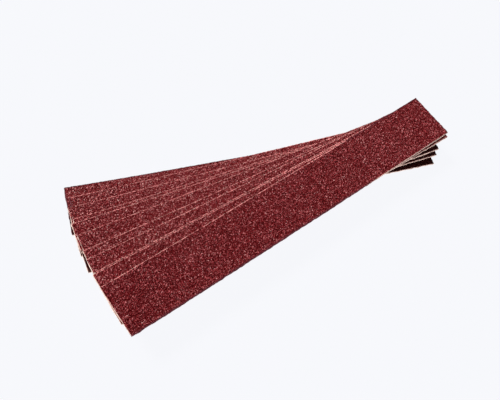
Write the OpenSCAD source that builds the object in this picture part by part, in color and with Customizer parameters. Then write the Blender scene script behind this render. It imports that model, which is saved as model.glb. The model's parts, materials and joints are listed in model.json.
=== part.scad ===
// A fan of loose cloth-backed sanding strips for a sanding stick.
// Every strip is three bonded layers: woven cloth, a resin make coat and the abrasive grain.
// The strips lie one on another, each turned a little further than the one above it.

/* [Strip] */
// Length of one strip
strip_l = 150; // [120:1:180]
// Width of one strip
strip_w = 20; // [18:0.5:24]
// Thickness of the woven cloth backing
cloth_t = 0.5; // [0.3:0.05:0.5]
// Thickness of the resin make coat that holds the grain
make_t = 0.1; // [0.05:0.05:0.1]
// Thickness of the abrasive grain with its thin size coat
grain_t = 0.45; // [0.3:0.05:0.45]

/* [Curl] */
// Length of the flat middle stretch that a strip rests on
flat_l = 50; // [30:5:80]
// How far each end curls up, towards the grain side
curl_h = 0.9; // [0.2:0.1:0.9]

/* [Fan] */
// Height from one strip's underside to the next one's
pitch = 1.25; // [1.25:0.05:1.6]
// Swivel point of the fan, measured along the top strip from its left end
pivot_x = 139; // [125:1:145]
// Swivel point of the fan, measured across the top strip from its front edge
pivot_y = 13; // [8:1:16]
// How far each strip is turned from the one above it, from the top strip down
turn_step = [2.6, 0, 2.1, 1.6, 2.8, 3.0, 0.7, 2.8, 1.2, 3.6]; // [0:0.1:6]
// How far each strip has slipped along itself, from the top strip down
slip = [0, 0, 1.0, 0.5, 0.6, 0.7, -0.1, 0.9, 0.0, 1.2, -0.3]; // [-2:0.1:2]
// How far each strip has slipped sideways, from the top strip down
drift = [0, -0.7, 0.3, 1.3, 1.5, 1.7, 0, 0.5, -0.6, 1.1, -2.3]; // [-3:0.1:2]

/* [Hidden] */
curl_cuts = 10; // straight cuts that follow each curled end
strips = len(slip);

function label(layer, k) = str(layer, "_", k < 10 ? "0" : "", k);

// Angle of strip k from the top strip, which is strip 1
function turned(k) = k == 1 ? 0 : turned(k - 1) + turn_step[k - 2];

// Plan position of a strip's point (x, y) once the strip has slipped and been turned
function plan(k, x, y) =
    let (a = -turned(k), u = x + slip[k - 1] - pivot_x, v = y + drift[k - 1] - pivot_y)
    [pivot_x + u * cos(a) - v * sin(a), pivot_y + u * sin(a) + v * cos(a)];

// The fan stands on z = 0 with the middle of its outline over the origin
outline = [for (k = [1 : strips], x = [0, strip_l], y = [0, strip_w]) plan(k, x, y)];
function middle(values) = (min(values) + max(values)) / 2;
centre = [middle([for (p = outline) p.x]), middle([for (p = outline) p.y])];

// Height of a strip's curl at x, flat in the middle and a parabola towards each end
end_l = (strip_l - flat_l) / 2;
function curl(x) = curl_h * pow(max(0, abs(x - strip_l / 2) - flat_l / 2) / end_l, 2);
left_cuts = [for (i = [0 : curl_cuts]) end_l * i / curl_cuts];
cuts = concat(left_cuts, [for (x = left_cuts) x + end_l + flat_l]);

// One layer of a strip lying along X: its side outline carried across the width
module layer(bottom, thickness) {
    upper = [for (x = cuts) [x, bottom + thickness + curl(x)]];
    lower = [for (i = [len(cuts) - 1 : -1 : 0]) [cuts[i], bottom + curl(cuts[i])]];
    translate([0, strip_w, 0])
        rotate([90, 0, 0])
            linear_extrude(strip_w)
                polygon(concat(upper, lower));
}

// Puts a strip's layer in its place in the fan, strip 1 on top
module in_fan(k) {
    translate([pivot_x - centre.x, pivot_y - centre.y, (strips - k) * pitch])
        rotate(-turned(k))
            translate([slip[k - 1] - pivot_x, drift[k - 1] - pivot_y, 0])
                children();
}

// Woven cotton cloth that carries the strip
module cloth_backing(k) {
    color("#d8b8a4") in_fan(k) layer(0, cloth_t);
}

// Cured resin that bonds the grain to the cloth
module make_coat(k) {
    color("#5a1f1e") in_fan(k) layer(cloth_t, make_t);
}

// Packed aluminium-oxide grain under its thin size coat
module grain_coat(k) {
    color("#7c2c31") in_fan(k) layer(cloth_t + make_t, grain_t);
}

for (k = [1 : strips]) {
    cloth_backing(k);
    make_coat(k);
    grain_coat(k);
}
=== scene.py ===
# %% [markdown]
# # A fan of eleven sanding strips
#
# A sanding stick takes narrow strips of cloth-backed abrasive. Eleven of them lie here in a fan, grain side
# up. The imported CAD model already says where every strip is, how thick its layers are and how it curls. This
# lesson adds what a plain slab lacks: single grains, the weave of the cloth, and frayed, chipped cut edges.

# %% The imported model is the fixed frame
import json

import bpy
import numpy as np
from mathutils import Matrix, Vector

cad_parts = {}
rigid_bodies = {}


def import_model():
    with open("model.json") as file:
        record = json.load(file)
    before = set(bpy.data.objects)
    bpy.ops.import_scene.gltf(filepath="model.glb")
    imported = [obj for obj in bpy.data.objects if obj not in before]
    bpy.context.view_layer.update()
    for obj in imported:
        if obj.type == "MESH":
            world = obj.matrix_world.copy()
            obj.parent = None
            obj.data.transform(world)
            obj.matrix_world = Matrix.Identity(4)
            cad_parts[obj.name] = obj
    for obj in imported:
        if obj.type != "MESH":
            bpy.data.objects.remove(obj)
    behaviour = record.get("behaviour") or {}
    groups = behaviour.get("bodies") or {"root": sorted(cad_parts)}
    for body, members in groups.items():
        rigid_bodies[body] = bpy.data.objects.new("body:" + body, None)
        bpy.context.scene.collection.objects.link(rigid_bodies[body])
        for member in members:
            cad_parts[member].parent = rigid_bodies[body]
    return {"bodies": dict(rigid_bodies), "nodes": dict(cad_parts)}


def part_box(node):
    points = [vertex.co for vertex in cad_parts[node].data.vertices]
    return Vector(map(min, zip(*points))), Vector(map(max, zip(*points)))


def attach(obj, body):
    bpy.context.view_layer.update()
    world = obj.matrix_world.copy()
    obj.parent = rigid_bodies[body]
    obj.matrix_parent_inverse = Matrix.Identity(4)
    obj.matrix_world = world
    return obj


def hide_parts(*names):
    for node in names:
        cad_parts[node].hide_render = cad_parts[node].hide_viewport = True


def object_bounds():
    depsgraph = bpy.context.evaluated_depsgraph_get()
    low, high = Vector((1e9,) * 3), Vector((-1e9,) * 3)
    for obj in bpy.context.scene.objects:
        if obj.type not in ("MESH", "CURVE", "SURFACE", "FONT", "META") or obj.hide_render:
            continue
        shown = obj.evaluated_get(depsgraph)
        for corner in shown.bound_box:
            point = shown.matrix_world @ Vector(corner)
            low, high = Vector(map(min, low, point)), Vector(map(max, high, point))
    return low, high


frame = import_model()
cad_box = [list(corner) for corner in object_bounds()]
MM = 0.001
STRIPS = sum(name.startswith("strip_") for name in frame["bodies"])
print(f"{STRIPS} strips, and the CAD box runs from {cad_box[0]} to {cad_box[1]}")

# %% [markdown]
# ## The eye
#
# A product shot of flat strips needs a steep view, or their faces shrink to lines. The camera could be placed
# by trial, but here it is built from five plain facts: how steeply it looks down, the ground direction it
# looks in, how far it is rolled, how far away it is, and the point on the top strip's level that it looks
# at. From those its three axes follow by cross products, so each fact can be changed without upsetting the
# others.

# %% Camera
LOOK_DOWN = np.radians(62.33)
LOOK_TOWARDS = np.radians(39.41)
ROLL = np.radians(16.07)
EYE_DISTANCE = 229.2 * MM
AIM = np.array([-14.28 * MM, -11.43 * MM, cad_box[1][2]])

ground = np.array([np.cos(LOOK_TOWARDS), np.sin(LOOK_TOWARDS), 0.0])
forward = np.cos(LOOK_DOWN) * ground - np.array([0.0, 0.0, np.sin(LOOK_DOWN)])
level_right = np.array([ground[1], -ground[0], 0.0])
level_up = np.cross(level_right, forward)
right = np.cos(ROLL) * level_right + np.sin(ROLL) * level_up
up = np.cos(ROLL) * level_up - np.sin(ROLL) * level_right

camera = bpy.data.objects.new("eye", bpy.data.cameras.new("eye"))
camera.data.sensor_width = 36.0
camera.data.lens = 44.7
camera.data.clip_start = 0.01
axes = np.eye(4)
axes[:3, 0] = right
axes[:3, 1] = up
axes[:3, 2] = -forward
axes[:3, 3] = AIM - forward * EYE_DISTANCE
camera.matrix_world = Matrix(axes.tolist())
bpy.context.scene.collection.objects.link(camera)
bpy.context.scene.camera = camera
print("the eye is at", axes[:3, 3].round(3))

# %% [markdown]
# ## Node trees in short
#
# Every finish below is a small tree of nodes. Writing each node and link by hand is long, so a few helpers do
# it. The first makes an empty material with its shader, and the next two add a node and fill its sockets. A
# value that is a socket gets linked, and any other value is typed into the node's own field.

# %% Helpers: a material and its nodes
def new_finish(name):
    """An empty material: its tree, and its Principled shader already joined to the output."""
    material = bpy.data.materials.new(name)
    material.use_nodes = True
    tree = material.node_tree
    tree.nodes.clear()
    shader = tree.nodes.new("ShaderNodeBsdfPrincipled")
    output = tree.nodes.new("ShaderNodeOutputMaterial")
    tree.links.new(shader.outputs["BSDF"], output.inputs["Surface"])
    return material, tree, shader


def feed(tree, node, fields):
    """Fills a node's inputs: a socket is linked, anything else is typed in."""
    for key, value in fields.items():
        if isinstance(value, bpy.types.NodeSocket):
            tree.links.new(value, node.inputs[key])
        else:
            node.inputs[key].default_value = value


def add(tree, kind, fields=None, **settings):
    """One node of that kind. settings are its options, and fields are its inputs, by name or number."""
    node = tree.nodes.new("ShaderNode" + kind)
    for option, value in settings.items():
        setattr(node, option, value)
    feed(tree, node, fields or {})
    return node


print("a finish starts from an empty tree with a", bpy.types.ShaderNodeBsdfPrincipled.bl_rna.name, "shader")

# %% [markdown]
# Four more helpers cover what the finishes do most: read a number kept on the mesh, turn a number into a
# colour, mix two colours, and carry a number from one range to another.

# %% Helpers: attributes, ramps, blends and ranges
def kept(tree, name):
    """The number that a piece keeps on its mesh under that name."""
    return add(tree, "Attribute", attribute_name=name).outputs["Fac"]


def ramp(tree, factor, stops):
    """A colour ramp through (place, red, green, blue) stops."""
    node = add(tree, "ValToRGB", {"Fac": factor})
    while len(node.color_ramp.elements) < len(stops):
        node.color_ramp.elements.new(0.5)
    for element, stop in zip(node.color_ramp.elements, stops):
        element.position = stop[0]
        element.color = (*stop[1:], 1.0)
    return node.outputs["Color"]


def blend_colours(tree, share, first, second, how="MIX"):
    """first and second mixed, with share of the second."""
    node = add(tree, "Mix", data_type="RGBA", blend_type=how)
    feed(tree, node, {0: share, 6: first, 7: second})
    return node.outputs[2]


def spread(tree, value, low, high, to_low, to_high):
    """value carried from the range low..high to to_low..to_high, and held inside it."""
    node = add(tree, "MapRange", {0: value, 1: low, 2: high, 3: to_low, 4: to_high})
    return node.outputs[0]


print("seven helpers for finishes are ready")

# %% [markdown]
# ## The floor
#
# The strips lie on a bright, even sweep. A plain white plane would take a grey shadow, so the floor is dark
# paint that glows, as a light table does. The glow gives nearly all of its brightness, so a shadow hardly
# shows.

# %% Floor
FLOOR_HALF = 3.0
FLOOR_CORNERS = [(x * FLOOR_HALF, y * FLOOR_HALF, 0.0) for x, y in ((-1, -1), (1, -1), (1, 1), (-1, 1))]
FLOOR_GLOW = (0.909, 0.918, 0.952, 1.0)
floor_mesh = bpy.data.meshes.new("floor")
floor_mesh.from_pydata(FLOOR_CORNERS, [], [(0, 1, 2, 3)])
floor = bpy.data.objects.new("floor", floor_mesh)
bpy.context.scene.collection.objects.link(floor)

pale_floor, tree, shader = new_finish("pale floor")
feed(tree, shader, {"Base Color": (0.02, 0.02, 0.02, 1.0), "Roughness": 0.9, "Specular IOR Level": 0.0})
feed(tree, shader, {"Emission Color": FLOOR_GLOW, "Emission Strength": 1.0})
floor.data.materials.append(pale_floor)
print("the floor is", 2 * FLOOR_HALF, "m wide")

# %% [markdown]
# ## Light
#
# The key light stands behind the strips and is wide, and it skims the grains. The dome gives little, so the
# gaps between strips stay dark, and only the camera sees it bright. A second, low light from the front meets
# the upright cut edges almost squarely and hardly touches the flat faces.

# %% Dome
world = bpy.data.worlds.new("pale dome")
bpy.context.scene.world = world
world.use_nodes = True
dome = world.node_tree
dome.nodes.clear()
fill = add(dome, "Background", {"Color": (0.95, 0.97, 1.0, 1.0), "Strength": 0.14})
seen = add(dome, "Background", {"Color": (0.930, 0.938, 0.973, 1.0), "Strength": 1.0})
path = add(dome, "LightPath")
either = add(dome, "MixShader", {0: path.outputs["Is Camera Ray"], 1: fill.outputs[0], 2: seen.outputs[0]})
dome_output = add(dome, "OutputWorld", {"Surface": either.outputs[0]})
print("the dome has", len(dome.nodes), "nodes")

# %% [markdown]
# Both lights are suns, which light every strip from the same direction however far it lies from the middle.

# %% Key light and front light
def sun(name, strength, width, colour, height, compass):
    """A sun of that width, height degrees above the ground, that shines from the compass angle inwards."""
    light = bpy.data.lights.new(name, "SUN")
    light.energy = strength
    light.angle = np.radians(width)
    light.color = colour
    lamp = bpy.data.objects.new(name, light)
    lamp.rotation_euler = (np.pi / 2 - np.radians(height), 0.0, np.radians(compass) + np.pi / 2)
    bpy.context.scene.collection.objects.link(lamp)
    return lamp


key = sun("key", 3.6, 16.0, (1.0, 0.985, 0.96), 52.0, 112.0)
front = sun("front", 2.8, 5.0, (1.0, 0.99, 0.98), 3.0, 238.0)
bpy.context.scene.view_settings.view_transform = "Standard"
print("suns:", [lamp.name for lamp in (key, front)])

# %% [markdown]
# ## Where each strip lies
#
# The CAD model keeps each strip's place in its vertices. Copying the angles and slips by hand would work
# until somebody changed the fan, so they are read from the solids instead. A strip is long and narrow, and
# the main direction of its corner points, found by singular value decomposition, is the direction it runs in.

# %% Read a strip's place from its cloth solid
def corner_points(node):
    """The distinct corners of a CAD solid, in metres."""
    mesh = frame["nodes"][node].data
    flat = np.empty(len(mesh.vertices) * 3, np.float32)
    mesh.vertices.foreach_get("co", flat)
    return np.unique(flat.reshape(-1, 3).astype(float).round(6), axis=0)


def lay_of(number):
    """A strip's front left corner, its two plan directions, its size and the height of its underside.

    Along is the first right singular vector of the centred plan points, turned to point towards +X, and
    across is along turned a quarter to the left."""
    points = corner_points(f"cloth_backing_{number}")
    middle = points[:, :2].mean(axis=0)
    centred = points[:, :2] - middle
    along = np.linalg.svd(centred, full_matrices=False)[2][0]
    along = along * np.sign(along[0])
    across = np.array([-along[1], along[0]])
    length = np.ptp(centred @ along)
    width = np.ptp(centred @ across)
    corner = middle - along * length / 2 - across * width / 2
    return {
        "corner": corner, "along": along, "across": across,
        "length": length, "width": width, "under": points[:, 2].min(), "top": points[:, 2].max(),
    }


NUMBERS = [f"{count:02d}" for count in range(1, STRIPS + 1)]
lays = {number: lay_of(number) for number in NUMBERS}
LENGTH = lays["01"]["length"]
WIDTH = lays["01"]["width"]
print(f"a strip is {LENGTH / MM:.2f} mm long and {WIDTH / MM:.2f} mm wide")
print("turned by", [round(float(np.degrees(np.arctan2(*lay["along"][::-1]))), 1) for lay in lays.values()])

# %% [markdown]
# The layers' levels come from the solids too. With them, one function takes any point of a flat strip to its
# place in the fan, curl and all, so every piece below can be worked out flat.

# %% The levels of the three layers, and the way from a flat strip to its place
UNDER = lays["01"]["under"]
CLOTH_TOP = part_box("make_coat_01")[0].z - UNDER
GRAIN_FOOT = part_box("grain_coat_01")[0].z - UNDER
GRAIN_TOP = GRAIN_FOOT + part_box("grain_coat_01")[1].z - lays["01"]["top"] - (GRAIN_FOOT - CLOTH_TOP)
END_LIFT = lays["01"]["top"] - UNDER - CLOTH_TOP
FLAT_MIDDLE = 50 * MM


def curl(x):
    """How far the strip rises at x: nothing along the flat middle, then the square of the way to its end."""
    past_flat = np.maximum(0.0, np.abs(x - LENGTH / 2) - FLAT_MIDDLE / 2)
    return END_LIFT * (past_flat / ((LENGTH - FLAT_MIDDLE) / 2)) ** 2


def in_place(lay, x, y, z):
    """Strip to model: corner + x along + y across, at the underside's height + z + curl."""
    plan = lay["corner"] + x[..., None] * lay["along"] + y[..., None] * lay["across"]
    height = lay["under"] + z + curl(x)
    return np.concatenate([plan, height[..., None]], axis=-1)


print("levels in mm:", [round(level / MM, 3) for level in (CLOTH_TOP, GRAIN_FOOT, GRAIN_TOP, END_LIFT)])

# %% [markdown]
# ## One closed skin for every layer
#
# Each layer is a thin slab with one face that matters: the grain side, or the woven underside. That face is a
# fine grid of points. Rings of points run down its cut edges, and the hidden face is closed with wide panels
# that reach from the front edge to the back. A Solidify modifier could close the slab too, but it would
# repeat the fine grid on the hidden face and double the cost.

# %% Faces of a closed skin
def rim(grid):
    """The border of a grid: front edge, right end, back edge, left end, each point once."""
    return np.concatenate([grid[:-1, 0], grid[-1, :-1], grid[:0:-1, -1], grid[0, :0:-1]])


def skin_faces(n_long, n_wide, n_rings, face_down=False):
    """Corner numbers and face starts of a slab: a grid, n_rings rings below its rim, and the far panels.

    Grid point (i, j) is i * (n_wide + 1) + j, and ring r follows the grid, in rim()'s order."""
    grid = np.arange((n_long + 1) * (n_wide + 1)).reshape(n_long + 1, n_wide + 1)
    around = 2 * (n_long + n_wide)
    rings = [rim(grid)]
    rings += [grid.size + ring * around + np.arange(around) for ring in range(n_rings)]
    face = np.stack([grid[:-1, :-1], grid[1:, :-1], grid[1:, 1:], grid[:-1, 1:]], axis=-1).reshape(-1, 4)
    walls = [
        np.stack([high, low, np.roll(low, -1), np.roll(high, -1)], axis=-1)
        for high, low in zip(rings, rings[1:])
    ]
    last = rings[-1]
    front_row = last[1:n_long]
    back_row = last[n_long + n_wide + 1:2 * n_long + n_wide][::-1]
    panels = np.stack([front_row[:-1], back_row[:-1], back_row[1:], front_row[1:]], axis=-1)
    quads = np.concatenate([face, *walls, panels])
    left_start = 2 * n_long + n_wide
    left_end = np.concatenate([last[[1, 0]], last[:left_start - 2:-1]])
    right_end = np.roll(last[n_long - 1:n_long + n_wide + 2][::-1], 1)
    ends = [left_end, right_end]
    if face_down:
        quads = quads[:, ::-1]
        ends = [end[::-1] for end in ends]
    corners = np.concatenate([quads.ravel(), *ends])
    sizes = np.concatenate([np.full(len(quads), 4), [len(end) for end in ends]])
    starts = np.concatenate([[0], np.cumsum(sizes)[:-1]])
    return corners.astype(np.int32), starts.astype(np.int32)


corners, starts = skin_faces(4, 3, 1)
closed_if_two = corners.max() + 1 - len(corners) // 2 + len(starts)
print("points - edges + faces of a small slab, 2 if it is closed:", closed_if_two)

# %% [markdown]
# Four more helpers serve every slab. Two give the way out of it at each point of its rim, so that cut edges
# can be pushed out or in, and which side that point is on. One makes the mesh, all points and faces at once.
# One keeps numbers on the mesh, which is how a shape tells its finish where it is chipped, soaked, painted
# lighter or painted darker.

# %% Ways out, meshes and kept numbers
def outward(n_long, n_wide):
    """The plan direction that points out of the slab at each point of the rim."""
    sides = [(0, -1, n_long), (1, 0, n_wide), (0, 1, n_long), (-1, 0, n_wide)]
    return np.concatenate([np.tile([[x, y]], (count, 1)) for x, y, count in sides]).astype(float)


def on_sides(out):
    """Whether each rim point is on the front, the right, the back and the left side, from its way out."""
    return out[:, 1] < 0, out[:, 0] > 0, out[:, 1] > 0, out[:, 0] < 0


def put_together(name, points, corners, starts, smooth):
    """A mesh object at the origin from arrays of points, corner numbers and face starts."""
    mesh = bpy.data.meshes.new(name)
    mesh.vertices.add(len(points))
    mesh.vertices.foreach_set("co", points.astype(np.float32).ravel())
    mesh.loops.add(len(corners))
    mesh.loops.foreach_set("vertex_index", corners)
    mesh.polygons.add(len(starts))
    mesh.polygons.foreach_set("loop_start", starts)
    mesh.polygons.foreach_set("use_smooth", np.full(len(starts), smooth))
    mesh.update(calc_edges=True)
    mesh.validate()
    piece = bpy.data.objects.new(name, mesh)
    bpy.context.scene.collection.objects.link(piece)
    return piece


def note(piece, name, values, kept_on="POINT"):
    """Keeps one number per point, or per face, on the mesh, for the finish to read."""
    attribute = piece.data.attributes.new(name, "FLOAT", kept_on)
    attribute.data.foreach_set("value", values.astype(np.float32))


print("a slab of 4 x 3 squares has", len(outward(4, 3)), "points round its rim")

# %% [markdown]
# ## The grain
#
# Coarse abrasive is a crowd of broken crystals, about 0.4 mm across, that stand in resin with their sharp
# ends up. Scattering nineteen thousand loose crystals on each strip would look right but weigh too much, and
# a bump texture would leave the edges straight. So the coat is one surface: each crystal is a leaning
# five-sided frustum, the height at a point is the highest crystal over it, and flat facets make it glint like
# broken stone.

# %% Sizes of the grain
GRAIN_PITCH = 0.40 * MM
GRAIN_STEP = 0.235 * MM
GRAIN_HEIGHT = GRAIN_TOP - GRAIN_FOOT
RESIN_POOL = 0.10 * MM
TILT = 0.38
FLANK_SLOPE = 2.6
CRYSTAL_SIDES = 5
N_LONG = int(round(LENGTH / GRAIN_STEP))
N_WIDE = int(round(WIDTH / GRAIN_STEP))
print(f"grain grid {N_LONG} x {N_WIDE}, about {2 * N_LONG * N_WIDE} triangles a strip")

# %% [markdown]
# A random scatter leaves bald spots and heaps. Putting one crystal in each square of a grid, and moving it at
# random inside its square, spreads them as evenly as an electrostatic coater does.

# %% Crystals, and the height of their surface
def scatter_grains(rng):
    """One crystal for each square of the coated face, moved at random inside its square."""
    shape = (int(LENGTH / GRAIN_PITCH) + 4, int(WIDTH / GRAIN_PITCH) + 4)
    row, column = np.indices(shape)
    return {
        "x": (row - 2 + rng.uniform(0.08, 0.92, shape)) * GRAIN_PITCH,
        "y": (column - 2 + rng.uniform(0.08, 0.92, shape)) * GRAIN_PITCH,
        "top": GRAIN_HEIGHT * (0.52 + 0.48 * rng.random(shape) ** 0.8),
        "lean_x": rng.normal(0.0, TILT, shape),
        "lean_y": rng.normal(0.0, TILT, shape),
        "turn": rng.uniform(0.0, 2 * np.pi, shape),
        "reach": GRAIN_PITCH * rng.uniform(0.22, 0.42, shape),
        "tone": rng.random(shape),
    }


def grain_height(grains, x, y):
    """The height of the highest crystal over (x, y), and that crystal's tone.

    A crystal is its top, minus its lean times the way from its middle, minus a steep slope times how far
    the point lies past its five-sided top. The resin pool is the lowest level."""
    height = np.full(x.shape, RESIN_POOL)
    tone = np.zeros(x.shape)
    row = np.floor(x / GRAIN_PITCH).astype(int) + 2
    column = np.floor(y / GRAIN_PITCH).astype(int) + 2
    for shift in np.ndindex(3, 3):
        at = (
            np.clip(row + shift[0] - 1, 0, grains["x"].shape[0] - 1),
            np.clip(column + shift[1] - 1, 0, grains["x"].shape[1] - 1),
        )
        off_x = x - grains["x"][at]
        off_y = y - grains["y"][at]
        past = np.full(x.shape, -1.0)
        for side in range(CRYSTAL_SIDES):
            facing = grains["turn"][at] + side * 2 * np.pi / CRYSTAL_SIDES
            past = np.maximum(past, off_x * np.cos(facing) + off_y * np.sin(facing))
        lean = grains["lean_x"][at] * off_x + grains["lean_y"][at] * off_y
        this = grains["top"][at] - lean - FLANK_SLOPE * np.maximum(0.0, past - grains["reach"][at])
        this = np.minimum(this, GRAIN_HEIGHT)
        tone = np.where(this > height, grains["tone"][at], tone)
        height = np.maximum(height, this)
    return height, tone


print("crystals a strip:", int(LENGTH / GRAIN_PITCH) * int(WIDTH / GRAIN_PITCH))

# %% [markdown]
# ## Edges that differ
#
# Most cut edges are bare, but some were cut before the last coat of resin went on. There the red resin ran
# over the edge in a dark bead and soaked the cloth. On the left ends of the two lowest strips the same dark
# red is painted shade. Other places are painted near black as painted shade: the slim parts of the lower
# strips that stick out in front near the swivel end, which the strips above shade, and their front left
# corners.
# Both are plain functions of the place on the strip, so shape and finish can share them.

# %% Sealed and shaded edges, and painted shade in front and at the left corners
RUN_TO = 112 * MM
RUN_FADE = 10 * MM
BEAD = 0.45 * MM
SHADE_FROM = 98 * MM
SHADE_DEEP = 3.4 * MM
CORNER_LONG = 2.4 * MM
CORNER_WIDE = 9 * MM


def sealed_and_shaded(number, x, front_side, right_side, back_side, left_side):
    """How far each edge is sealed by resin and darkened as painted shade, 0 to 1, given how close each of the
    four edges is, 0 to 1.

    The top strip is sealed along its front up to RUN_TO and round its right end after that, the lowest
    strip along its back and left, and the one above it on its left. On the left ends of these two lowest
    strips the dark red is painted shade, on end faces that the light doesn't reach."""
    before = np.clip((RUN_TO - x) / RUN_FADE, 0.0, 1.0)
    shares = {
        "01": np.maximum.reduce([front_side * before, right_side * 1.0, back_side * (1.0 - before) ** 3]),
        "10": left_side * 1.0,
        "11": np.maximum(left_side, back_side) * 1.0,
    }
    return shares.get(number, np.zeros(x.shape))


def painted_shade(number, x, y):
    """Where the grain is painted near black as painted shade: in front near the swivel end, and at the front
    left corner.

    Each place fades out over a millimetre or a few, and the upper strips, which lie less deep in shade, have
    less."""
    swivel_end = np.clip((x - SHADE_FROM) / (6 * MM), 0.0, 1.0) * np.clip((SHADE_DEEP - y) / MM, 0.0, 1.0)
    corner = np.clip((CORNER_LONG - x) / MM, 0.0, 1.0) * np.clip((CORNER_WIDE - y) / (2 * MM), 0.0, 1.0)
    share = np.interp(int(number), [1, 2, 4, 5], [0.0, 0.3, 0.4, 1.0])
    return np.maximum(swivel_end, corner) * share


print("sealed strips: 01, 10 and 11; the bead is", round(BEAD / MM, 2), "mm wide")

# %% [markdown]
# ## Cut edges of the grain
#
# A strip is slit with shears or a die, which breaks the outermost crystals. The edge runs in small bites, and
# the fresh breaks are paler than the resin-coated tops. The pale rim is also a painted highlight: the rim
# light that the edge grains catch from the key light behind. Along the edge both are random numbers made
# smooth by averaging neighbours, over three points for the dots and over forty-one for worse and better
# stretches.

# %% Noise along an edge, and how badly it is chipped and how bright its painted rim highlight is
CHIP_WIDTH = 0.30 * MM
CHIP_REACH = 1.35
CHIPS_END = 136 * MM
CHIPS_FADE = 24 * MM
FRONT_SPARED = 0.28 * MM
BRIGHT_RIM_STRIPS = 3


def smooth_noise(rng, count, width):
    """Random numbers from 0 to 1, averaged over width neighbours round a closed line and stretched again."""
    rough = rng.random(count)
    kernel = np.hanning(width + 2)[1:-1]
    wrapped = np.concatenate([rough[-width:], rough, rough[:width]])
    calm = np.convolve(wrapped, kernel / kernel.sum(), mode="same")[width:-width]
    return np.clip(0.5 + (calm - 0.5) * np.sqrt(width) * 0.9, 0.0, 1.0)


def chips_and_rim_light(rng, number, x, to_edge):
    """How chipped each point is, and how bright its painted rim highlight: 1 at a cut edge, falling to 0 at
    CHIP_REACH widths, times the noise.

    The uppermost strips get a brighter painted rim highlight from 65 to 95 mm along, where the fan's edges run
    together, and none is chipped much towards the swivel end."""
    dots = np.clip((smooth_noise(rng, N_LONG + 1, 3) - 0.3) / 0.3, 0.0, 1.0)
    torn = (0.42 + 0.80 * dots) * (0.72 + 0.50 * smooth_noise(rng, N_LONG + 1, 41))
    if int(number) <= BRIGHT_RIM_STRIPS:
        torn = torn * np.interp(x[:, 0], [65 * MM, 95 * MM], [1.0, 1.5])
    torn = torn * np.clip((CHIPS_END - x[:, 0]) / CHIPS_FADE, 0.2, 1.0)
    fall = np.clip(CHIP_REACH - to_edge / CHIP_WIDTH, 0.0, 1.0)
    return fall * rng.uniform(0.50, 1.0, x.shape) * torn[:, None]


print("chips reach", round(CHIP_REACH * CHIP_WIDTH / MM, 2), "mm in from an edge")

# %% [markdown]
# Now one strip's grain can be made. Its grid is shaken first, or the facets would line up in rows. Then come
# the crystals' heights, the bites out of the rim, and two rings of points down to the foot of the coat. The
# mesh keeps each crystal's tone, how high each point stands, how chipped it is and how bright its painted rim
# highlight, how pale its cut walls are painted, how far resin seals it, where edges and grain are painted dark
# as shade, a random painted light for each facet, from shade to glint, and how much painted light lifts the
# strip: more on the lower strips, which those above keep from the front light.

# %% Build one strip's grain
SHAKE = 0.36
PAINTED_LIGHT_STEP = 0.06


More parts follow.
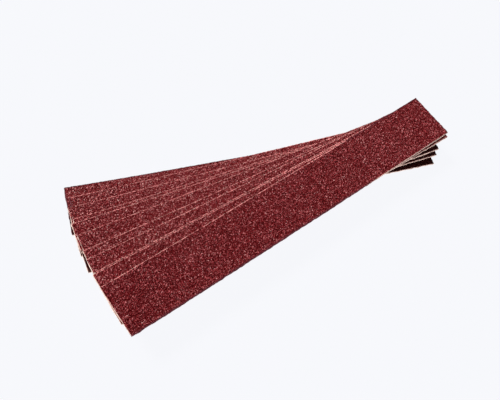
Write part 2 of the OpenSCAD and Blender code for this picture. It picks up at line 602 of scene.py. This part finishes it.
def grain_face(number):
    """The abrasive face of one strip, its chipped walls and its flat foot on the make coat."""
    rng = np.random.default_rng(4100 + int(number))
    lay = lays[number]
    long_way = np.linspace(0, LENGTH, N_LONG + 1)
    wide_way = np.linspace(0, WIDTH, N_WIDE + 1)
    x, y = np.meshgrid(long_way, wide_way, indexing="ij")
    inside = np.zeros(x.shape)
    inside[1:-1, 1:-1] = 1.0
    x = x + inside * rng.uniform(-SHAKE, SHAKE, x.shape) * GRAIN_STEP
    y = y + inside * rng.uniform(-SHAKE, SHAKE, x.shape) * GRAIN_STEP
    height, tone = grain_height(scatter_grains(rng), x, y)
    to_edge = np.minimum(WIDTH - y, y + FRONT_SPARED)

    out = outward(N_LONG, N_WIDE)
    around = len(out)
    bite = (0.02 + 0.13 * smooth_noise(rng, around, 3)) * MM
    places = rim(np.arange(x.size).reshape(x.shape))
    x.ravel()[places] -= out[:, 0] * bite
    y.ravel()[places] -= out[:, 1] * bite
    height[inside == 0.0] *= rng.uniform(0.72, 1.0, around)

    chipped_and_rim_lit = chips_and_rim_light(rng, number, x, to_edge)
    # the bead of resin along sealed edges; on the left ends of the two lowest strips it is painted shade
    bead_and_shade = sealed_and_shaded(number, x, *[np.clip(1.3 - way / BEAD, 0.0, 1.0) for way in (y, LENGTH - x, WIDTH - y, x)])
    chipped_and_rim_lit = chipped_and_rim_lit * (1.0 - bead_and_shade)
    rim_x = rim(x)
    rim_y = rim(y)
    waist = rng.uniform(-0.03, 0.06, around) * MM
    half_way = GRAIN_FOOT + 0.5 * rim(height)
    points = np.concatenate([
        in_place(lay, x, y, GRAIN_FOOT + height).reshape(-1, 3),
        in_place(lay, rim_x + out[:, 0] * waist, rim_y + out[:, 1] * waist, half_way),
        in_place(lay, rim_x + out[:, 0] * bite, rim_y + out[:, 1] * bite, np.full(around, GRAIN_FOOT)),
    ])
    piece = put_together(f"grain_face_{number}", points, *skin_faces(N_LONG, N_WIDE, 2), smooth=False)

    stand = height / GRAIN_HEIGHT
    # painted shade: near black in front near the swivel end, under the strips above, and at the front left
    # corners
    painted_shade_share = painted_shade(number, x, y)
    # the cut walls are painted cream at random strength, as painted light on walls that lie in shade
    painted_pale_wall = rng.uniform(0.35, 0.9, around) * (1.0 - sealed_and_shaded(number, rim_x, *on_sides(out)))
    layers = {
        "tone": (tone, rim(tone), rim(tone)),
        # low points, and the lower rings of the walls, get a smaller stand, which the finish paints darker:
        # resin and painted shade
        "stand": (stand, 0.6 * rim(stand), 0.3 * rim(stand)),
        "chipped_and_rim_lit": (chipped_and_rim_lit, 0.7 * rim(chipped_and_rim_lit), 0.3 * rim(chipped_and_rim_lit)),
        "cut": (np.zeros(x.shape), painted_pale_wall, painted_pale_wall),
        "bead_and_shade": (bead_and_shade, rim(bead_and_shade), rim(bead_and_shade)),
        "painted_shade": (painted_shade_share, rim(painted_shade_share), 0.0 * rim(painted_shade_share)),
    }
    for name, parts in layers.items():
        note(piece, name, np.concatenate([part.ravel() for part in parts]))
    # a random number for each facet, which the finish turns into painted shade or a painted glint
    note(piece, "facet_glint_and_shade", rng.random(len(piece.data.polygons)), kept_on="FACE")
    # painted light: each strip further down is painted paler, making up for the front light that the strips
    # above keep off it
    strips_above = int(number) - 1
    painted_light_below = 0.35 + PAINTED_LIGHT_STEP * (strips_above - 1) if strips_above else 0.0
    note(piece, "painted_light_below", np.full(len(points), painted_light_below))
    return piece


print("each grain face will have", (N_LONG + 1) * (N_WIDE + 1) + 4 * (N_LONG + N_WIDE), "points")

# %% [markdown]
# ## Finish of the grain
#
# The crystals are dark red-brown, and a thin film of red resin wets them all. Each crystal has its own tone,
# and each facet a random painted light, from painted shade to a near-white painted glint. Both come from the
# mesh, so colour and shape agree. The hollows are painted darker: the darker resin that fills them, and
# painted shade. A fine cell pattern adds the grit that is too small to model, and a broad, faint cloudiness
# keeps the face from looking printed.

# %% Grain material: crystals, painted light on the facets, and hollows in resin and painted shade
grain_finish, tree, shader = new_finish("red grain in resin")
place = add(tree, "TexCoord").outputs["Object"]
grit = add(tree, "TexVoronoi", {"Vector": place, "Scale": 3800.0})
clouds = add(tree, "TexNoise", {"Vector": place, "Scale": 90.0, "Detail": 3.0})
crystal = ramp(tree, kept(tree, "tone"), [
    (0.0, 0.128, 0.005, 0.007), (0.5, 0.203, 0.018, 0.022), (0.8, 0.275, 0.040, 0.045),
    (1.0, 0.345, 0.074, 0.077),
])
speck = ramp(tree, grit.outputs["Color"], [
    (0.0, 0.55, 0.45, 0.45), (0.5, 1.0, 1.0, 1.0), (1.0, 1.5, 1.8, 1.75),
])
crystal = blend_colours(tree, 0.8, crystal, speck, "MULTIPLY")
# painted light on each facet: from a fifth of the colour, as painted shade, up to a near-white painted glint
painted_facet_light = ramp(tree, kept(tree, "facet_glint_and_shade"), [
    (0.0, 0.20, 0.02, 0.03), (0.45, 0.84, 0.63, 0.63), (0.8, 1.55, 2.3, 2.2), (1.0, 2.9, 8.5, 7.9),
])
crystal = blend_colours(tree, 1.0, crystal, painted_facet_light, "MULTIPLY")
# the hollows are painted darker: the resin that fills them, and painted shade where light doesn't reach
HOLLOW_RESIN_AND_SHADE = (0.055, 0.001, 0.002, 1.0)
CLOUD_RED = (0.150, 0.004, 0.007, 1.0)
hollow = spread(tree, kept(tree, "stand"), 0.25, 0.75, 0.85, 0.0)
crystal = blend_colours(tree, hollow, crystal, HOLLOW_RESIN_AND_SHADE)
cloud = spread(tree, clouds.outputs["Fac"], 0.3, 0.7, 0.0, 0.22)
crystal = blend_colours(tree, cloud, crystal, CLOUD_RED)
print("so far the grain's tree has", len(tree.nodes), "nodes")

# %% [markdown]
# The wear and the painted light and shade go over that, in this order: painted light, which only makes the
# lower strips' grain paler, the chipped rims, which show the crystals' pink insides and carry a painted rim
# highlight, the cut walls, painted cream as painted light, the bead of resin, which on the left ends of the
# two lowest strips is painted shade, and last the near-black painted shade in front near the swivel end and at
# the front left corners.

# %% Grain material: wear, painted light and shade, gloss and relief
PAINTED_LIGHT_GAIN = (1.42, 2.10, 1.95, 1.0)
PALEST = (0.75, 0.35, 0.34, 1.0)
CHIPPED_AND_RIM_LIT_PINK = (1.0, 0.37, 0.36, 1.0)
PAINTED_WALL_CREAM = (0.82, 0.56, 0.48, 1.0)
BEAD_AND_SHADE_RED = (0.085, 0.020, 0.032, 1.0)
PAINTED_SHADE_BLACK = (0.018, 0.002, 0.0015, 1.0)
# painted light: lifts the lower strips' grain, as the front light that the strips above block would
crystal = blend_colours(tree, kept(tree, "painted_light_below"), crystal, PAINTED_LIGHT_GAIN, "MULTIPLY")
crystal = blend_colours(tree, 0.6, crystal, PALEST, "DARKEN")
# chipped grain shows its pink insides; the same pink is a painted rim highlight where edge grains catch the
# key light
broken_and_rim_lit = spread(tree, kept(tree, "chipped_and_rim_lit"), 0.20, 0.75, 0.0, 1.0)
crystal = blend_colours(tree, broken_and_rim_lit, crystal, CHIPPED_AND_RIM_LIT_PINK)
# painted light: the grain's cut walls are painted cream so that they read as lit
crystal = blend_colours(tree, kept(tree, "cut"), crystal, PAINTED_WALL_CREAM)
# the dark red bead: resin, and on the left ends of the two lowest strips painted shade
over = spread(tree, kept(tree, "bead_and_shade"), 0.0, 1.0, 0.0, 0.75)
crystal = blend_colours(tree, over, crystal, BEAD_AND_SHADE_RED)
# painted shade, near black, near the swivel end and at the front left corners
painted_shade_share = spread(tree, kept(tree, "painted_shade"), 0.0, 1.0, 0.0, 0.92)
crystal = blend_colours(tree, painted_shade_share, crystal, PAINTED_SHADE_BLACK)
gloss = spread(tree, grit.outputs["Distance"], 0.0, 0.6, 0.22, 0.50)
fine = add(tree, "Bump", {"Height": grit.outputs["Distance"], "Strength": 0.35, "Distance": 0.06 * MM})
feed(tree, shader, {"Base Color": crystal, "Roughness": gloss, "Normal": fine.outputs["Normal"]})
feed(tree, shader, {"Specular IOR Level": 0.07})
print("with wear it has", len(tree.nodes))

# %% [markdown]
# The eleven faces ride on their strips and stand for the plain grain solids, which stay behind for contact.

# %% Eleven grain faces
for number in NUMBERS:
    face = grain_face(number)
    face.data.materials.append(grain_finish)
    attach(face, f"strip_{number}")
    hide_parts(f"grain_coat_{number}")
print("grain faces made, the last has", len(face.data.polygons), "faces")

# %% [markdown]
# ## The make coat
#
# Between cloth and grain lies a tenth of a millimetre of hard resin. Only its cut edge can be seen, as a thin
# dark line. Its CAD solid is exactly that film, so it stays and only gets its finish: dark, glossy, a little
# cloudy.

# %% Resin material
resin_finish, tree, shader = new_finish("dark make resin")
place = add(tree, "TexCoord").outputs["Object"]
clouds = add(tree, "TexNoise", {"Vector": place, "Scale": 900.0, "Detail": 4.0})
colour = ramp(tree, clouds.outputs["Fac"], [(0.3, 0.045, 0.006, 0.008), (0.7, 0.120, 0.020, 0.022)])
wetness = spread(tree, clouds.outputs["Fac"], 0.3, 0.7, 0.28, 0.5)
ripple = add(tree, "Bump", {"Height": clouds.outputs["Fac"], "Strength": 0.3, "Distance": 0.05 * MM})
feed(tree, shader, {"Base Color": colour, "Roughness": wetness, "Normal": ripple.outputs["Normal"]})
feed(tree, shader, {"Coat Weight": 0.2, "Coat Roughness": 0.25})
for number in NUMBERS:
    film = frame["nodes"][f"make_coat_{number}"]
    film.data.materials.clear()
    film.data.materials.append(resin_finish)
print("resin films finished:", len(NUMBERS))

# %% [markdown]
# ## The cloth
#
# The backing is a stout twill, stiff with size. On its underside each crossing thread is a ridge, and a
# lengthwise thread floats over every third one, which fills the hollow beside it. A bump texture would do
# from far off, but the edge would stay smooth. Here the grid is laid so that its points fall on the threads:
# two steps to a crossing thread, one to a lengthwise thread. The weave is then real relief at the cost of one
# point for each hollow.

# %% Sizes of the weave, and its relief
CROSS_THREAD = 0.60 * MM
LENGTH_THREAD = 0.50 * MM
WEAVE_DEPTH = 0.07 * MM
FLOAT_EVERY = 3
C_LONG = int(round(LENGTH / CROSS_THREAD)) * 2
C_WIDE = int(round(WIDTH / LENGTH_THREAD))


def weave_depth(n_long, n_wide):
    """How deep the underside is at each grid point: deep between crossing threads, except under a float.

    The hollow is the square of the sine along the strip, and a lengthwise thread floats where the count of
    the crossing thread plus its own count is a multiple of three."""
    along, across = np.meshgrid(np.arange(n_long + 1), np.arange(n_wide + 1), indexing="ij")
    hollow = np.sin(along * np.pi / 2) ** 2
    before = (along // 2 + across) % FLOAT_EVERY == 0
    after = ((along + 1) // 2 + across) % FLOAT_EVERY == 0
    floats = np.where(before | after, 0.25, 1.0)
    sunk = np.where(before & (along % 2 == 0), 0.0, 0.3)
    return WEAVE_DEPTH * np.maximum(hollow * floats, (1 - hollow) * sunk)


print(f"weave grid {C_LONG} x {C_WIDE}")

# %% [markdown]
# Along the cut edges the thread ends stand out or hang back a little, and the cloth swells between its
# flattened faces. It doesn't swell at the back, which the shears pressed. The edge's points also get a place
# on a flat map in millimetres, as if the cloth and its edges were unrolled, for the thread pattern to follow.

# %% Build one strip's cloth
EDGE_LEVELS = (0.14 * MM, 0.30 * MM, 0.44 * MM, CLOTH_TOP)
EDGE_SWELL = (0.08, 0.12, 0.09, -0.01)
THREAD_BEAD = 0.05


def woven_cloth(number):
    """The cloth of one strip: relief below, thread ends round the edge, and a flat top under the resin."""
    rng = np.random.default_rng(5200 + int(number))
    lay = lays[number]
    long_way = np.linspace(0, LENGTH, C_LONG + 1)
    wide_way = np.linspace(0, WIDTH, C_WIDE + 1)
    x, y = np.meshgrid(long_way, wide_way, indexing="ij")
    depth = weave_depth(C_LONG, C_WIDE) * rng.uniform(0.85, 1.0, x.shape)
    out = outward(C_LONG, C_WIDE)
    around = len(out)
    in_turn = np.where(np.arange(around) % 2 == 0, THREAD_BEAD, -THREAD_BEAD)
    beads = np.where(out[:, 1] != 0, in_turn, rng.uniform(-0.06, 0.06, around))
    ends = (beads + 0.22 * (smooth_noise(rng, around, 7) - 0.5)) * MM
    rim_x = rim(x)
    rim_y = rim(y)
    places = rim(np.arange(x.size).reshape(x.shape))
    x.ravel()[places] += out[:, 0] * (ends - 0.05 * MM)
    y.ravel()[places] += out[:, 1] * (ends - 0.05 * MM)
    rings = []
    open_side = np.where(out[:, 1] > 0, 0.0, 1.0)
    for level, swell in zip(EDGE_LEVELS, EDGE_SWELL):
        push = ends + (swell * open_side + rng.uniform(-0.02, 0.02, around)) * MM
        push = np.where(level == CLOTH_TOP, -0.01 * MM, push)
        ring_z = np.full(around, level)
        rings.append(in_place(lay, rim_x + out[:, 0] * push, rim_y + out[:, 1] * push, ring_z))
    points = np.concatenate([in_place(lay, x, y, depth).reshape(-1, 3), *rings])
    corners, starts = skin_faces(C_LONG, C_WIDE, len(EDGE_LEVELS), face_down=True)
    piece = put_together(f"woven_cloth_{number}", points, corners, starts, smooth=True)
    flat_x = [x.ravel()] + [rim_x + out[:, 0] * level for level in EDGE_LEVELS]
    flat_y = [y.ravel()] + [rim_y + out[:, 1] * level for level in EDGE_LEVELS]
    unrolled = np.stack([np.concatenate(flat_x), np.concatenate(flat_y)], axis=-1) / MM
    thread_map = piece.data.uv_layers.new(name="threads")
    thread_map.data.foreach_set("uv", unrolled[corners].astype(np.float32).ravel())
    soaked_and_shaded = sealed_and_shaded(number, rim_x, *on_sides(out))
    note(piece, "soaked_and_shaded", np.concatenate([np.zeros(x.size)] + [soaked_and_shaded] * len(EDGE_LEVELS)))
    return piece


print("the cloth's edge has", len(EDGE_LEVELS), "levels, up to", round(CLOTH_TOP / MM, 2), "mm")

# %% [markdown]
# ## Finish of the cloth
#
# The cloth is a raw, slightly pink cream. Its colour follows the threads, so the pattern reads the mesh's own
# map: one set of bands for the crossing threads, one for the lengthwise ones, painted darker between the
# threads as painted shade. Size and resin have soaked in here and there, sealed edges are soaked through, the
# left ends of the two lowest strips are painted dark red as painted shade, and a low sheen gives the bloom of
# loose fibres.

# %% Cloth material
BANDS_IN_ONE = 3.183  # a wave texture at scale 1 has this many bands to the unit
LINT_CREAM = (0.86, 0.73, 0.66, 1.0)
STAIN_BROWN = (0.42, 0.22, 0.18, 1.0)
SOAKED_AND_SHADE_RED = (0.150, 0.018, 0.022, 1.0)
cloth_finish, tree, shader = new_finish("raw twill cloth")
threads = add(tree, "UVMap", uv_map="threads").outputs["UV"]
bands = []
for direction, pitch in (("X", CROSS_THREAD), ("Y", LENGTH_THREAD)):
    wave = add(tree, "TexWave", {"Vector": threads, "Distortion": 0.6, "Detail": 2.0, "Detail Scale": 2.0})
    wave.bands_direction = direction
    wave.inputs["Scale"].default_value = MM / pitch / BANDS_IN_ONE
    bands.append(wave.outputs["Fac"])
place = add(tree, "TexCoord").outputs["Object"]
fluff = add(tree, "TexNoise", {"Vector": place, "Scale": 7000.0, "Detail": 3.0})
soak = add(tree, "TexNoise", {"Vector": place, "Scale": 420.0, "Detail": 4.0})
weave = add(tree, "Math", {0: bands[0], 1: bands[1]}, operation="MULTIPLY").outputs[0]
# thread colour, painted darker between the threads as painted shade in the pits
colour = ramp(tree, weave, [(0.0, 0.62, 0.42, 0.35), (0.35, 0.82, 0.63, 0.54), (1.0, 0.90, 0.73, 0.64)])
colour = blend_colours(tree, spread(tree, fluff.outputs["Fac"], 0.45, 0.75, 0.0, 0.5), colour, LINT_CREAM)
colour = blend_colours(tree, spread(tree, soak.outputs["Fac"], 0.52, 0.78, 0.0, 0.5), colour, STAIN_BROWN)
# soaked edges are dark red: resin, and on the left ends of the two lowest strips painted shade
colour = blend_colours(tree, kept(tree, "soaked_and_shaded"), colour, SOAKED_AND_SHADE_RED)
relief = add(tree, "Math", {0: weave, 1: fluff.outputs["Fac"]}, operation="ADD").outputs[0]
nap = add(tree, "Bump", {"Height": relief, "Strength": 0.4, "Distance": 0.08 * MM})
feed(tree, shader, {"Base Color": colour, "Roughness": 0.92, "Normal": nap.outputs["Normal"]})
feed(tree, shader, {"Specular IOR Level": 0.2, "Sheen Weight": 0.25, "Sheen Roughness": 0.5})
print("the cloth's tree has", len(tree.nodes), "nodes")

# %% [markdown]
# ## Loose ends
#
# Where a twill is cut, a few fibres always work free. A hair system could grow them, but a few hundred plain
# tubes are lighter and export as they are. Each has three sides, a profile carried along a short drooping
# path that leaves the edge and wanders. They stay within the cloth's own thickness, so a strip can still
# swivel on its neighbour without snagging.

# %% Paths of the loose fibres
FIBRES = 240
JOINTS = 6
LOWEST = 0.06 * MM
HIGHEST = 0.46 * MM
ROOT_DEEP = 0.08 * MM
PROFILE = np.arange(3) * 2 * np.pi / 3


def fibre_roots(rng):
    """Where the fibres leave the edge: a place on one of the four sides, and the way out of that side."""
    along_edge = np.sort(rng.uniform(0, 2 * (LENGTH + WIDTH), FIBRES))
    side = np.searchsorted([LENGTH, LENGTH + WIDTH, 2 * LENGTH + WIDTH], along_edge)
    done = np.array([0.0, LENGTH, LENGTH + WIDTH, 2 * LENGTH + WIDTH])[side]
    way = along_edge - done
    root_x = np.choose(side, [way, np.full(FIBRES, LENGTH), LENGTH - way, np.zeros(FIBRES)])
    root_y = np.choose(side, [np.zeros(FIBRES), way, np.full(FIBRES, WIDTH), WIDTH - way])
    out = np.array([(0, -1), (1, 0), (0, 1), (-1, 0)], float)[side]
    return root_x, root_y, out


print(FIBRES, "fibres a strip, with", JOINTS, "joints each")

# %% [markdown]
# A fibre's path starts a little inside the cloth. The profile is a triangle that shrinks towards the tip, and
# one array holds every fibre's every corner, so all the tubes of a strip are made at once.

# %% Frayed fibres round a strip
def frayed_ends(number):
    """Short fibres round the cut edge: each is a bending path, with a triangle carried along it.

    Point s of a path is the root + s times its reach outwards + a sideways sway that grows as s squared.
    The triangle's radius shrinks towards the tip as 1 - 0.7 s."""
    rng = np.random.default_rng(6300 + int(number))
    root_x, root_y, out = fibre_roots(rng)
    beside = np.stack([-out[:, 1], out[:, 0]], axis=-1)
    s = np.linspace(0.0, 1.0, JOINTS)[None, :]
    reach = rng.uniform(0.10, 0.42, FIBRES)[:, None] * MM
    sway = rng.normal(0.0, 0.35, FIBRES)[:, None] * MM
    level = rng.uniform(0.12, 0.40, FIBRES)[:, None] * MM
    drop = level * rng.uniform(-0.3, 0.5, FIBRES)[:, None]
    thick = rng.uniform(0.012, 0.034, FIBRES)[:, None] * MM * (1 - 0.7 * s)
    path_x = root_x[:, None] + out[:, :1] * (s * reach - ROOT_DEEP) + beside[:, :1] * sway * s ** 2
    path_y = root_y[:, None] + out[:, 1:] * (s * reach - ROOT_DEEP) + beside[:, 1:] * sway * s ** 2
    path_z = np.clip(level - drop * s ** 2, LOWEST, HIGHEST)
    ring_x = path_x[..., None] + beside[:, :1, None] * thick[..., None] * np.cos(PROFILE)
    ring_y = path_y[..., None] + beside[:, 1:, None] * thick[..., None] * np.cos(PROFILE)
    ring_z = path_z[..., None] + thick[..., None] * np.sin(PROFILE)
    points = in_place(lays[number], ring_x, ring_y, ring_z).reshape(-1, 3)
    index = np.arange(len(points)).reshape(FIBRES, JOINTS, 3)
    after = np.roll(index, -1, axis=2)
    tube = np.stack([index[:, :-1], index[:, 1:], after[:, 1:], after[:, :-1]], axis=-1).reshape(-1, 4)
    caps = np.concatenate([index[:, 0], index[:, -1, ::-1]])
    corners = np.concatenate([tube.ravel(), caps.ravel()]).astype(np.int32)
    starts = np.concatenate([np.arange(len(tube)) * 4, tube.size + np.arange(len(caps)) * 3])
    piece = put_together(f"frayed_ends_{number}", points, corners, starts.astype(np.int32), smooth=True)
    soaked_and_shaded = sealed_and_shaded(number, root_x, *on_sides(out))
    note(piece, "soaked_and_shaded", np.repeat(soaked_and_shaded, JOINTS * 3))
    return piece


print("a strip's fibres have", FIBRES * JOINTS * len(PROFILE), "points")

# %% [markdown]
# The fibres are the same cotton as the cloth, without its size, so they have more sheen and vary more in
# tone. On a sealed edge the resin has caught them, and they are as red as the cloth there; on the left ends
# of the two lowest strips that red is painted shade.

# %% Fibre material
fibre_finish, tree, shader = new_finish("cotton fibre")
place = add(tree, "TexCoord").outputs["Object"]
tint = add(tree, "TexNoise", {"Vector": place, "Scale": 1500.0, "Detail": 2.0})
colour = ramp(tree, tint.outputs["Fac"], [(0.3, 0.55, 0.40, 0.34), (0.7, 0.86, 0.76, 0.68)])
colour = blend_colours(tree, kept(tree, "soaked_and_shaded"), colour, SOAKED_AND_SHADE_RED)
feed(tree, shader, {"Base Color": colour, "Roughness": 0.85, "Specular IOR Level": 0.2, "Sheen Weight": 0.3})
print("the fibre's tree has", len(tree.nodes), "nodes")

# %% [markdown]
# Every cloth is cut flat to the strip's own width and length, and laid on the grain of
# the strip below, or on the floor for the lowest. Its loose fibres belong to it.

# %% Eleven cloths with their loose ends
for count, number in enumerate(NUMBERS):
    cloth = woven_cloth(number)
    cloth.data.materials.append(cloth_finish)
    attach(cloth, f"strip_{number}")
    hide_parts(f"cloth_backing_{number}")
    fray = frayed_ends(number)
    fray.data.materials.append(fibre_finish)
    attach(fray, f"strip_{number}")
print("cloths made, the last has", len(cloth.data.polygons), "faces")
